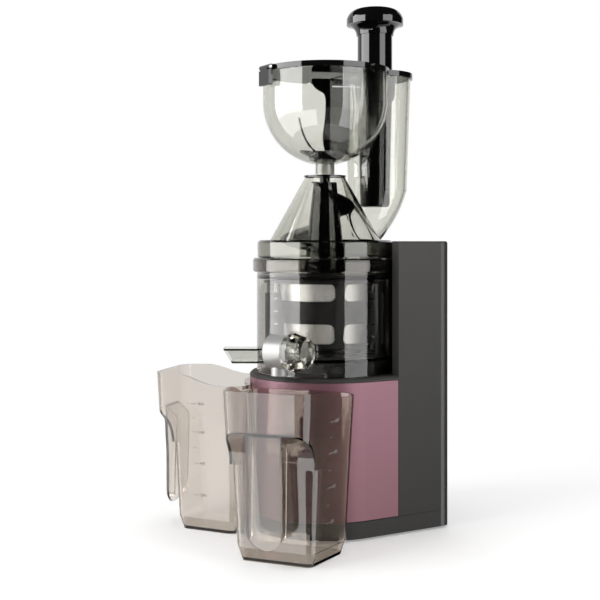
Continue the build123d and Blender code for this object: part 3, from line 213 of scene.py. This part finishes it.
def cast_zinc():
    """Die-cast zinc: dull, with a pebbled skin."""
    made = Finish("cast_zinc")
    pebbles = made.noise(700, 4)
    feeds = {
        "Base Color": made.shades(pebbles, (0.48, 0.48, 0.47), 0.1),
        "Metallic": 1.0,
        "Roughness": 0.42 + pebbles * 0.15,
        "Normal": made.bump(pebbles, 0.00008, 0.7),
    }
    return made.done(made.node("BsdfPrincipled", None, feeds))


dress(cast_zinc(), "gearbox_case")
gear_white = moulded("gear_white", (0.68, 0.68, 0.63), 0.32, 0.00001)
dress(gear_white, "cooling_fan")
dress(moulded("board_green", (0.02, 0.11, 0.04), 0.45, 0.00002), "control_board")

# ---- rear cover, switch and cord gland ----
# A black moulded cover closes the back of the tower. The rocker switch sits in its own gloss frame on
# the left side, and a rubber gland keeps the cord's hole.


def gloss_black():
    """Polished black plastic with faint smears from handling."""
    made = Finish("gloss_black")
    smear = made.noise(35, 4)
    ripple = made.noise(60)
    feeds = {
        "Base Color": made.shades(smear, (0.0035, 0.0034, 0.0033), 0.3),
        "Roughness": 0.03 + smear * 0.06,
        "Normal": made.bump(ripple, 0.00002, 0.5),
    }
    return made.done(made.node("BsdfPrincipled", None, feeds))


gloss = gloss_black()
dress(cover_black, "rear_cover")
dress(gloss, "switch_frame", "switch_rocker")
dress(rubber_black, "cord_gland")


def surface_of(node):
    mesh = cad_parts[node].data
    return BVHTree.FromPolygons([v.co for v in mesh.vertices], [tuple(p.vertices) for p in mesh.polygons])


def bar(across, up, width, height, steps=6):
    """A level bar's points and faces on the flat, in short lengths that can follow a curved wall."""
    points = []
    for step in range(steps + 1):
        along = across + width * (step / steps - 0.5)
        points += [(along, up - height / 2), (along, up + height / 2)]
    faces = [(2 * s, 2 * s + 2, 2 * s + 3, 2 * s + 1) for s in range(steps)]
    return points, faces


def circle(across, up, radius, line, steps=24):
    """A drawn circle's points and faces on the flat."""
    points = []
    for step in range(steps):
        turn = 2 * pi * step / steps
        for reach in (radius - line / 2, radius + line / 2):
            points.append((across + reach * cos(turn), up + reach * sin(turn)))
    faces = [(2 * s, 2 * s + 1, (2 * s + 3) % (2 * steps), (2 * s + 2) % (2 * steps)) for s in range(steps)]
    return points, faces


print_search = 0.1  # how far out from its middle a print starts to look for the wall
print_thick = 0.0002
print_proud = 0.8  # share of its thickness by which a print stands out of the wall


def lay_on(name, node, middle, facing, shapes, thick=print_thick):
    """A thin raised print of flat shapes on a node's outer wall, seen against facing."""
    surface = surface_of(node)
    up = Vector((0, 0, 1))
    rightward = up.cross(facing)
    points, faces = [], []
    for shape_points, shape_faces in shapes:
        first = len(points)
        for across, rise in shape_points:
            start = middle + across * rightward + rise * up + print_search * facing
            points.append(surface.ray_cast(start, -facing)[0] + print_proud * thick * facing)
        faces += [tuple(first + corner for corner in face) for face in shape_faces]
    mesh = bpy.data.meshes.new(name)
    mesh.from_pydata(points, [], faces)
    piece = bpy.data.objects.new(name, mesh)
    bpy.context.scene.collection.objects.link(piece)
    body = piece.modifiers.new("body", "SOLIDIFY")
    body.thickness = thick
    body.offset = -1
    return piece


rocker_low, rocker_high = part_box("switch_rocker")
rocker_middle = (Vector(rocker_low) + Vector(rocker_high)) / 2
rocker_half = (rocker_high[2] - rocker_low[2]) / 2
mark_rise = 0.55 * rocker_half  # from the rocker's middle up to the bar, and down to the ring
mark_bar_width = 0.0008
mark_bar_height = 0.004
mark_ring_radius = 0.002
mark_ring_line = 0.0007
rocker_marks = lay_on(
    "rocker_marks", "switch_rocker", rocker_middle, Vector((-1, 0, 0)),
    [
        bar(0, mark_rise, mark_bar_width, mark_bar_height, 1),
        circle(0, -mark_rise, mark_ring_radius, mark_ring_line),
    ],
)
print_white = moulded("print_white", (0.75, 0.75, 0.74), 0.5, 0.00001)
rocker_marks.data.materials.append(print_white)
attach(rocker_marks, "rocker")

# ---- front panel ----
# The round front of the base is a curved metal panel in rose lacquer over brushed aluminium, under a
# satin clear coat. It is bare, and it clips into the housing flush with its rim.

panel_painted_shade_top = 0.15  # the rose gets lighter from the foot up to this height


def rose_lacquer():
    made = Finish("rose_lacquer")
    brush = made.noise(500, 3, (1, 1, 30))
    cloud = made.noise(7)
    # Painted shade: the rose is painted darker towards the foot and lighter upwards, in place of light that
    # falls off downwards.
    up = made.node("MapRange", {"clamp": True}, {0: made.height(), 1: 0.0, 2: panel_painted_shade_top})
    tone = made.mix(up, (0.10, 0.027, 0.038, 1), (0.195, 0.088, 0.114, 1))
    feeds = {
        "Base Color": made.mix(cloud * 0.5, tone, (0.21, 0.085, 0.113, 1)),
        "Metallic": 0.2,
        "Roughness": 0.42 + brush * 0.06,
        "Specular IOR Level": 0.3,
        "Coat Weight": 0.1,
        "Coat Roughness": 0.15,
        "Normal": made.bump(brush, 0.00001, 0.3),
    }
    return made.done(made.node("BsdfPrincipled", None, feeds))


dress(rose_lacquer(), "front_panel")

# ---- bowl seat and drive ----
# The bowl stands on a black ring seat let into the top of the base. The steel drive shaft comes up
# through a lipped rubber seal in its middle.

dress(cover_black, "bowl_seat")
dress(rubber_black, "shaft_seal")
dress(steel, "drive_shaft")

# ---- juicing bowl, collar and seal ----
# The bowl is one drum moulded in lightly smoked clear plastic, with its hub and floor. A smoked collar
# locks the lid to it, and a silicone ring seals it below.


def clear(name, tone, wall, index=1.49, ripple_depth=0.00006):
    """Clear plastic that keeps tone of the light through each wall's thickness of it."""
    made = Finish(name)
    ripple = made.noise(28)
    smear = made.noise(45, 4)
    surface = made.node("BsdfPrincipled", None, {
        "Base Color": made.shades(smear, (0.985, 0.985, 0.985), 0.012),
        "Roughness": 0.012 + smear * 0.02,
        "IOR": index,
        "Transmission Weight": 1.0,
        "Normal": made.bump(ripple, ripple_depth, 0.5),
    })
    density = 1.02 * -log(min(tone)) / wall  # 1.02 keeps each part of the colour above 0
    kept = [1 + log(part) / (density * wall) for part in tone]
    return made.done(surface, made.node("VolumeAbsorption", None, {"Color": (*kept, 1), "Density": density}))


dress(clear("smoke_clear", (0.72, 0.71, 0.69), 0.0025, 1.4), "drum_bowl", "drum_collar")
silicone_dark = moulded("silicone_dark", (0.012, 0.012, 0.012), 0.45, 0.00001)
dress(silicone_dark, "bowl_seal")

# ---- pulp spout, juice tap ----
# The pulp spout is a pale clear trough pushed on the bowl. The tap is a silver-grey barrel with its
# nozzle and a turning plug, closed by a faceted clear knob.

pale_clear = clear("pale_clear", (0.66, 0.66, 0.625), 0.003)


def tap_silver():
    """Silver-grey lacquer under a clear gloss."""
    made = Finish("tap_silver")
    flake = made.noise(5000, 1)
    smear = made.noise(60, 3)
    feeds = {
        "Base Color": made.shades(flake, (0.4, 0.4, 0.392), 0.12),
        "Metallic": 0.15,
        "Roughness": 0.32 + smear * 0.08,
        "Coat Weight": 0.15,
        "Coat Roughness": 0.1,
    }
    return made.done(made.node("BsdfPrincipled", None, feeds))


dress(pale_clear, "pulp_spout")
dress(tap_silver(), "juice_nozzle", "tap_plug")
dress(clear("knob_clear", (0.96, 0.96, 0.95), 0.004, 1.49, 0.0), "tap_knob")

# ---- strainer ----
# A black moulded basket frame carries the etched steel sheet of the strainer in its windows. Its small
# idler gear turns on a steel pin.

holes_per_metre = 1000.0
hole_radius = 0.26  # share of the holes' spacing


def strainer_steel():
    """Etched stainless sheet: bright, full of tiny holes."""
    made = Finish("strainer_steel")
    cell = made.node("TexVoronoi", None, {"Vector": made.place(), "Scale": holes_per_metre})
    # The holes are painted dark: painted shade of the strainer's inside seen through them, on uncut sheet.
    hole = cell < hole_radius
    swirl = made.noise(500, 2, (1, 1, 0.05))
    metal = made.shades(swirl, (0.86, 0.86, 0.84), 0.12)
    feeds = {
        "Base Color": made.mix(hole * 0.7, metal, (0.08, 0.08, 0.08, 1)),
        "Metallic": 0.9,
        "Roughness": 0.42,
        "Normal": made.bump(hole * -1, 0.00008, 0.6),
    }
    return made.done(made.node("BsdfPrincipled", None, feeds))


frame_black = moulded("strainer_dark", (0.008, 0.008, 0.008), 0.28, 0.00001)
dress(frame_black, "strainer_frame")
dress(strainer_steel(), "strainer_mesh")
dress(steel, "idler_pin")
dress(gear_white, "idler_gear")

# ---- wiper basket and blades ----
# A black open basket with a ring gear turns slowly between strainer and bowl. Soft silicone blades in
# its posts wipe both walls.

dress(frame_black, "wiper_basket")
dress(silicone_dark, "wiper_blades")

# ---- auger and its bush ----
# The auger is a heavy gloss black screw with a tapering core. A steel bush pressed into its foot takes
# the drive shaft.

dress(gloss, "auger")
dress(steel, "auger_bush")

# ---- bowl lid and throat disc ----
# The lid is one clear moulding: the locking ring, the cone over the auger and the slanting inlet. A
# black disc at the cone's neck carries the hopper.

dress(pale_clear, "drum_lid")
dress(gloss, "throat_disc")

# ---- hopper, chute and feed rotor ----
# The hopper is a clear bowl with the feed chute moulded to its back, closed above by a gloss black deck.
# A black rotor with two wings turns on a white bush in its floor. A raised white line marks how full it
# may be.

hopper_line_height = 0.428
hopper_line_start = -25
hopper_line_end = 1
hopper_line_width = 0.0008
hopper_line_thick = 0.0005
hopper_line_steps = 16

dress(pale_clear, "hopper_shell")
dress(gear_white, "neck_bush")
dress(gloss, "hopper_deck", "chute_collar", "feed_rotor")


# Wings from the foot up, each height with places out from the axis: the tall one's two edges, and the
# middle of the low one, which has one width. Negative places are beyond the axis.
wing_bow = 0.065  # the tall wing is bent to this radius
wing_bow_middle = -0.0114  # where the bend touches the plane through the axis
tall_wing = (
    (0.363, 0.008, 0.012), (0.366, 0.003, 0.019), (0.373, -0.001, 0.023), (0.388, -0.003, 0.0245),
    (0.398, -0.0005, 0.025), (0.418, 0.001, 0.025), (0.429, 0.0005, 0.025), (0.4315, -0.004, 0.025),
    (0.434, -0.0095, 0.025), (0.439, -0.013, 0.025), (0.4445, -0.014, 0.0245),
)
low_wing = (
    (0.366, 0.006), (0.368, -0.004), (0.373, -0.0125), (0.382, -0.019), (0.393, -0.0235), (0.406, -0.026),
)
low_wing_half = 0.007
wing_thick = 0.0018
wing_edge = 0.0005
wing_columns = 14
wing_out = Vector((0.5, 0.866, 0)).normalized()
wing_front = wing_out.cross(Vector((0, 0, 1)))


def feed_wings():
    """The rotor's two wings: a tall bowed one that stands up in the bowl and a low scoop."""
    points, faces = [], []
    for height, inner, outer in tall_wing:
        for column in range(wing_columns + 1):
            out = inner + (outer - inner) * column / wing_columns
            bow = wing_bow * (1 - cos(asin((out - wing_bow_middle) / wing_bow)))
            points.append(out * wing_out - bow * wing_front + Vector((0, 0, height)))
    across = wing_columns + 1
    for row in range(len(tall_wing) - 1):
        for column in range(wing_columns):
            corner = row * across + column
            faces.append((corner, corner + 1, corner + across + 1, corner + across))
    first = len(points)
    for height, out in low_wing:
        for side in (-low_wing_half, low_wing_half):
            points.append(out * wing_out + side * wing_front + Vector((0, 0, height)))
    for row in range(len(low_wing) - 1):
        corner = first + 2 * row
        faces.append((corner, corner + 1, corner + 3, corner + 2))
    mesh = bpy.data.meshes.new("feed_wings")
    mesh.from_pydata(points, [], faces)
    mesh.shade_smooth()
    mesh.materials.append(gloss)
    wings = bpy.data.objects.new("feed_wings", mesh)
    bpy.context.scene.collection.objects.link(wings)
    smoother = wings.modifiers.new("smoother", "SUBSURF")
    smoother.levels = smoother.render_levels = 2
    body = wings.modifiers.new("body", "SOLIDIFY")
    body.thickness = wing_thick
    body.offset = 0
    edge = wings.modifiers.new("edge", "BEVEL")
    edge.width = wing_edge
    edge.segments = 2
    return wings


wings = feed_wings()
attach(wings, "feeder")

line_turn = radians((hopper_line_start + hopper_line_end) / 2)
line_facing = Vector((cos(line_turn), sin(line_turn), 0))
hopper_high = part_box("hopper_shell")[1]
line_length = hopper_high[0] * radians(hopper_line_end - hopper_line_start)
hopper_line = lay_on(
    "hopper_line", "hopper_shell", Vector((0, 0, hopper_line_height)), line_facing,
    [bar(0, 0, line_length, hopper_line_width, hopper_line_steps)], hopper_line_thick,
)
hopper_line.data.materials.append(print_white)
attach(hopper_line, "hopper")

# ---- flip lid and latch ----
# A gloss black lid closes the hopper, hinged on a steel pin. Its latch hooks over the hopper's rim and
# swings on a pin of its own.

dress(gloss, "flip_lid", "latch")
dress(steel, "hinge_pin", "latch_pin")

# ---- pusher ----
# The pusher is a hollow gloss black tube that slides in the chute, with a domed cap snapped on top.

dress(gloss, "pusher_body", "pusher_cap")

# ---- jugs and their scales ----
# Two jugs of one design, in brown-grey clear plastic, catch juice and pulp. Each is a single moulding
# with a hanging handle. The ticks and figures printed on it look like a measuring scale, but they
# aren't worked out from what the jug holds.

scale_heights = (0.036, 0.067, 0.0975, 0.125)
scale_step = 200
figure_size = 0.0042
figure_across = 0.0045
tick_length = 0.006
tick_line = 0.0005
half_tick_length = 0.004
half_tick_line = 0.0004
half_tick_across = -0.001
juice_scale_turn = 28
pulp_scale_turn = -55


def figures(word, across, up):
    """A number's points and faces on the flat."""
    letters = bpy.data.curves.new(word, "FONT")
    letters.body = word
    letters.size = figure_size
    letters.align_x = "LEFT"
    letters.align_y = "CENTER"
    letters.resolution_u = 3
    holder = bpy.data.objects.new(word, letters)
    mesh = bpy.data.meshes.new_from_object(holder)
    bpy.data.objects.remove(holder)
    points = [(across + point.co.x, up + point.co.y) for point in mesh.vertices]
    return points, [tuple(face.vertices) for face in mesh.polygons]


def jug_scale(node, facing_turn):
    """Ticks with figures on the jug's wall that faces a turn, in degrees round from +X."""
    low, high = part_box(node)
    facing = Vector((cos(radians(facing_turn)), sin(radians(facing_turn)), 0))
    middle = Vector(((low[0] + high[0]) / 2, (low[1] + high[1]) / 2, 0))
    shapes = []
    for count, height in enumerate(scale_heights):
        shapes.append(bar(0, height, tick_length, tick_line))
        shapes.append(figures(str(scale_step * (count + 1)), figure_across, height))
        if count:
            between = (height + scale_heights[count - 1]) / 2
            shapes.append(bar(half_tick_across, between, half_tick_length, half_tick_line))
    scale = lay_on(node + "_scale", node, middle, facing, shapes)
    scale.data.materials.append(print_grey)
    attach(scale, node)


print_grey = moulded("print_grey", (0.22, 0.21, 0.20), 0.6, 0.00001)
dress(clear("jug_clear", (0.775, 0.74, 0.70), 0.002, 1.45), "juice_jug", "pulp_jug")
jug_scale("juice_jug", juice_scale_turn)
jug_scale("pulp_jug", pulp_scale_turn)

# ---- studio ----
# The machine stands on a pale sweep under three soft lamps. Bright and dark boards stand before it,
# beside it and over it. The camera doesn't see them: they shape what gloss and clear plastic show.

camera_azimuth = radians(60)
camera_distance = 1.1
camera_height = 0.282
camera_lens = 66  # this and the sensor in millimetres
camera_sensor = 36
axis_right = 0.025  # how far right of the view's middle the drive axis stands
horizon_shift = -0.098
light_bounces = 28

scene = bpy.context.scene
scene.view_settings.view_transform = "Standard"
scene.cycles.max_bounces = light_bounces
scene.cycles.transmission_bounces = light_bounces

camera_data = bpy.data.cameras.new("camera")
camera = bpy.data.objects.new("camera", camera_data)
scene.collection.objects.link(camera)
scene.camera = camera
toward = Vector((sin(camera_azimuth), -cos(camera_azimuth), 0))
rightward = Vector((cos(camera_azimuth), sin(camera_azimuth), 0))
camera.location = camera_distance * toward - axis_right * rightward + Vector((0, 0, camera_height))
camera.rotation_euler = (pi / 2, 0, camera_azimuth)
camera_data.lens = camera_lens
camera_data.sensor_width = camera_sensor
camera_data.shift_y = horizon_shift

sweep_half = 6
sweep_lift = 0.28
sweep_fade_start = 0.25
sweep_fade_end = 0.75


def sweep_white():
    """White paint that takes the machine's shadow and fades into the white behind."""
    made = Finish("sweep_white")
    diffuse = made.node("BsdfDiffuse", None, {"Color": (0.93, 0.93, 0.93, 1)})
    lift = made.node("Emission", None, {"Color": (1, 1, 1, 1), "Strength": sweep_lift})
    lifted = made.node("AddShader", None, {0: diffuse, 1: lift})
    looked_at = made.node("LightPath", output="Is Camera Ray")
    looked_at = looked_at + made.node("LightPath", output="Is Transmission Ray")
    paint = made.node("MixShader", None, {0: looked_at, 1: diffuse, 2: lifted})
    glow = made.node("Emission", None, {"Color": (1, 1, 1, 1), "Strength": 1})
    reach = made.node("VectorMath", {"operation": "LENGTH"}, {0: made.place()}, "Value")
    fade = made.node("MapRange", {"clamp": True}, {0: reach, 1: sweep_fade_start, 2: sweep_fade_end})
    return made.done(made.node("MixShader", None, {0: fade, 1: paint, 2: glow}))


def stage_mesh(name, points, faces, material):
    mesh = bpy.data.meshes.new(name)
    mesh.from_pydata(points, [], faces)
    mesh.materials.append(material)
    made = bpy.data.objects.new(name, mesh)
    scene.collection.objects.link(made)
    return made


def level_square(half, height):
    return [(-half, -half, height), (half, -half, height), (half, half, height), (-half, half, height)]


sweep = stage_mesh("sweep", level_square(sweep_half, 0), [(0, 1, 2, 3)], sweep_white())
sweep.visible_glossy = False

air = Finish("studio", bpy.data.worlds, "OutputWorld")
seen = air.node("LightPath", output="Is Camera Ray") + air.node("LightPath", output="Is Glossy Ray")
seen = seen + air.node("LightPath", output="Is Transmission Ray")
world_level = 0.45
backdrop = {"Color": (1, 1, 1, 1), "Strength": world_level + seen * (1 - world_level)}
scene.world = air.done(air.node("Background", None, backdrop))

lamp_reach = 1.5
for name, turn, rise, size, power in (
    ("key", -62, 35, 0.9, 9),
    ("fill", 48, 25, 0.9, 5),
    ("top", 180, 75, 1.0, 6),
):
    lamp_data = bpy.data.lights.new(name, "AREA")
    lamp_data.shape = "SQUARE"
    lamp_data.size = size
    lamp_data.energy = power
    lamp = bpy.data.objects.new(name, lamp_data)
    scene.collection.objects.link(lamp)
    spot = camera_azimuth + radians(turn)
    away = Vector((sin(spot) * cos(radians(rise)), -cos(spot) * cos(radians(rise)), sin(radians(rise))))
    lamp.location = lamp_reach * away + Vector((0, 0, camera_height))
    lamp.rotation_euler = away.to_track_quat("Z", "Y").to_euler()
    lamp.visible_glossy = False


def board_paint(name, strength):
    made = Finish(name)
    return made.done(made.node("Emission", None, {"Color": (1, 1, 1, 1), "Strength": strength}))


def for_gloss_only(board):
    """A board that lights nothing and casts nothing: only gloss and clear plastic see it."""
    board.visible_camera = False
    board.visible_diffuse = False
    board.visible_shadow = False
    board.visible_volume_scatter = False


board_foot = -1.2
board_head = 1.6
board_reach = 1.6
low_board_head = -0.08  # and the left strip's foot
dark_board_head = 2.3
dark_board_reach = 1.7
dark_top_half = 2.5
# Where boards begin and end, in degrees round the machine from the camera's own turn.
left_end = -105
left_strip_end = -43
left_low_end = -18
right_strip_start = 31
right_strip_end = 72
right_end = 135


def stand_board(name, material, start, end, low=board_foot, high=board_head, reach=board_reach, steps=12):
    """A curved upright board round the machine between two turns from the camera's own."""
    points = []
    for step in range(steps + 1):
        turn = camera_azimuth + radians(start + (end - start) * step / steps)
        points += [(reach * sin(turn), -reach * cos(turn), height) for height in (low, high)]
    faces = [(2 * s, 2 * s + 2, 2 * s + 3, 2 * s + 1) for s in range(steps)]
    for_gloss_only(stage_mesh(name, points, faces, material))


board_black = board_paint("board_black", 0.01)
dark_place = (board_foot, dark_board_head, dark_board_reach)
stand_board("left_strip", board_paint("strip_bright", 8), left_end, left_strip_end, low_board_head)
stand_board("left_low", board_paint("strip_low", 5.5), left_end, left_low_end, board_foot, low_board_head)
stand_board("right_strip", board_paint("strip_dim", 5), right_strip_start, right_strip_end)
stand_board("dark_front", board_black, left_strip_end, right_strip_start, *dark_place)
stand_board("dark_right", board_black, right_strip_end, right_end, *dark_place)
dark_top_square = level_square(dark_top_half, dark_board_head)
for_gloss_only(stage_mesh("dark_top", dark_top_square, [(0, 1, 2, 3)], board_black))
